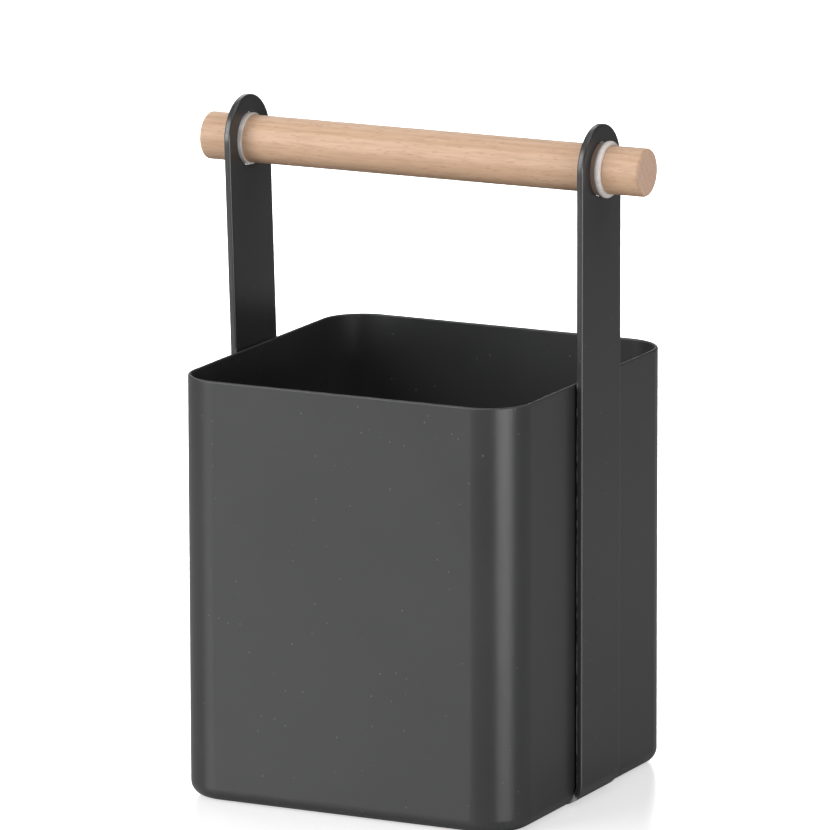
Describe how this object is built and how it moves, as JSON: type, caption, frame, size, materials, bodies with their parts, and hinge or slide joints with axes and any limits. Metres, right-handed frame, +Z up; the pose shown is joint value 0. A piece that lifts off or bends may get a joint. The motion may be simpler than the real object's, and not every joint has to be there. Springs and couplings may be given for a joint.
{
  "type": "utensil caddy",
  "caption": "Open square sheet-steel caddy for upright utensils, with rounded corners, a flat carry strap up both sides and a turning round wooden handle.",
  "frame": {"origin": "middle of the body's underside, on the face that stands on the table", "axes": "+X along the handle to the right as seen from the front, front wall faces -Y, +Z up"},
  "size_m": [0.1416, 0.109, 0.199],
  "materials": {
    "coated_steel": "satin charcoal powder coat",
    "beech": "fine sanded, bare or lightly oiled",
    "silicone": "translucent, clear to milky"
  },
  "bodies": {
    "caddy": {"body_wall": "coated_steel", "base_pan": "coated_steel", "carry_strap": "coated_steel"},
    "handle": {"handle_dowel": "beech", "bush_left": "silicone", "bush_right": "silicone"}
  },
  "joints": [
    {"name": "handle_spin", "type": "hinge", "parent": "caddy", "child": "handle", "pos_m": [0, 0, 0.186], "axis": [1, 0, 0], "continuous": true}
  ]
}
